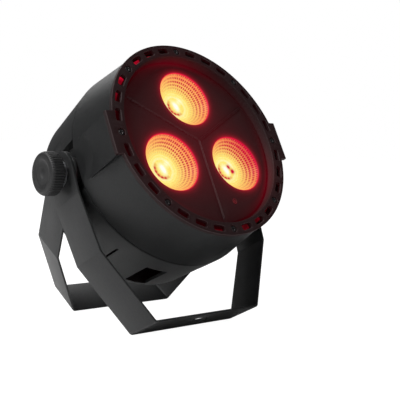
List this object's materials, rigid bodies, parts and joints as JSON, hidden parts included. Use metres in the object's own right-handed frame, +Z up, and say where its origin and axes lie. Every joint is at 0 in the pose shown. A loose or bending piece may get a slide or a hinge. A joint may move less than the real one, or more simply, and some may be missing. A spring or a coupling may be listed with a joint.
{
  "type": "par can light",
  "caption": "Round black stage light with glowing collimator lenses in a recessed face, slotted bezel and tapered housing, clamped by ribbed knobs between two bent steel yokes forming a stand.",
  "frame": {"origin": "on the floor, under the middle of the bounding box", "axes": "+Z up, the head looks towards -Y and 30.3 degrees upwards, the tilt axis runs along X through both knobs"},
  "size_m": [0.1892, 0.1542, 0.1979],
  "materials": {
    "shell_plastic": "moulded black plastic, fine matt grain",
    "bezel_plastic": "moulded black plastic, tinted red by the lamps' light",
    "knob_plastic": "black plastic with fine ribs",
    "button_plastic": "dark grey plastic",
    "panel_metal": "matt black powder coat",
    "inner_plastic": "black plastic",
    "lens_acrylic": "clear collimator glowing red and amber",
    "emitter_resin": "lit emitter resin",
    "board_white": "white solder resist",
    "board_green": "green solder resist",
    "heatsink_aluminium": "plain cast",
    "yoke_steel": "black powder coat",
    "zinc_steel": "zinc plated",
    "washer_rubber": "black rubber",
    "display_glass": "smoked red window"
  },
  "bodies": {
    "front_yoke": {"front_yoke": "yoke_steel"},
    "rear_yoke": {"rear_yoke": "yoke_steel"},
    "head": {"front_ring": "bezel_plastic", "face_plate": "bezel_plastic", "front_shell": "shell_plastic", "rear_shell": "shell_plastic", "back_panel": "panel_metal", "display_window": "display_glass", "lens_top": "lens_acrylic", "lens_left": "lens_acrylic", "lens_right": "lens_acrylic", "lens_holder_top": "inner_plastic", "lens_holder_left": "inner_plastic", "lens_holder_right": "inner_plastic", "led_emitter_top": "emitter_resin", "led_emitter_left": "emitter_resin", "led_emitter_right": "emitter_resin", "led_board": "board_white", "heatsink": "heatsink_aluminium", "board_pillar_1": "zinc_steel", "board_pillar_2": "zinc_steel", "board_pillar_3": "zinc_steel", "ir_receiver": "inner_plastic", "control_board": "board_green", "power_supply_board": "board_green", "microphone": "zinc_steel", "dmx_input": "inner_plastic", "dmx_output": "inner_plastic", "power_inlet": "inner_plastic", "ring_screw_1": "zinc_steel", "ring_screw_2": "zinc_steel", "ring_screw_3": "zinc_steel", "ring_screw_4": "zinc_steel", "ring_screw_5": "zinc_steel", "ring_screw_6": "zinc_steel", "ring_screw_7": "zinc_steel", "ring_screw_8": "zinc_steel", "panel_screw_1": "zinc_steel", "panel_screw_2": "zinc_steel", "panel_screw_3": "zinc_steel", "panel_screw_4": "zinc_steel", "clamp_nut_left": "zinc_steel", "clamp_nut_right": "zinc_steel", "friction_washer_left": "washer_rubber", "friction_washer_right": "washer_rubber"},
    "left_pressure_washer": {"pressure_washer_left": "zinc_steel"},
    "left_knob": {"knob_left": "knob_plastic", "clamp_stud_left": "zinc_steel"},
    "right_pressure_washer": {"pressure_washer_right": "zinc_steel"},
    "right_knob": {"knob_right": "knob_plastic", "clamp_stud_right": "zinc_steel"},
    "menu_button": {"button_menu": "button_plastic"},
    "down_button": {"button_down": "button_plastic"},
    "up_button": {"button_up": "button_plastic"},
    "enter_button": {"button_enter": "button_plastic"}
  },
  "joints": [
    {"name": "head_tilt", "type": "hinge", "parent": "front_yoke", "child": "head", "pos_m": [0, 0.01126, 0.10479], "axis": [-1, 0, 0], "range_deg": [-30, 60]},
    {"name": "yoke_spread", "type": "hinge", "parent": "front_yoke", "child": "rear_yoke", "pos_m": [0, 0.01126, 0.10479], "axis": [1, 0, 0], "range_deg": [-54.5, 65]},
    {"name": "left_clamp_travel", "type": "slide", "parent": "head", "child": "left_pressure_washer", "axis": [-1, 0, 0], "range_m": [0, 0.00125]},
    {"name": "left_knob_turn", "type": "hinge", "parent": "left_pressure_washer", "child": "left_knob", "pos_m": [0, 0.01126, 0.10479], "axis": [-1, 0, 0], "range_deg": [0, 360]},
    {"name": "right_clamp_travel", "type": "slide", "parent": "head", "child": "right_pressure_washer", "axis": [1, 0, 0], "range_m": [0, 0.00125]},
    {"name": "right_knob_turn", "type": "hinge", "parent": "right_pressure_washer", "child": "right_knob", "pos_m": [0, 0.01126, 0.10479], "axis": [1, 0, 0], "range_deg": [0, 360]},
    {"name": "menu_press", "type": "slide", "parent": "head", "child": "menu_button", "axis": [0, -0.8634, 0.5045], "range_m": [0, 0.001], "stiffness_N_per_m": 600},
    {"name": "down_press", "type": "slide", "parent": "head", "child": "down_button", "axis": [0, -0.8634, 0.5045], "range_m": [0, 0.001], "stiffness_N_per_m": 600},
    {"name": "up_press", "type": "slide", "parent": "head", "child": "up_button", "axis": [0, -0.8634, 0.5045], "range_m": [0, 0.001], "stiffness_N_per_m": 600},
    {"name": "enter_press", "type": "slide", "parent": "head", "child": "enter_button", "axis": [0, -0.8634, 0.5045], "range_m": [0, 0.001], "stiffness_N_per_m": 600}
  ],
  "couplings": [
    {"joint": "left_knob_turn", "follows": "left_clamp_travel", "rad_per_m": 5026.5},
    {"joint": "right_knob_turn", "follows": "right_clamp_travel", "rad_per_m": 5026.5}
  ]
}
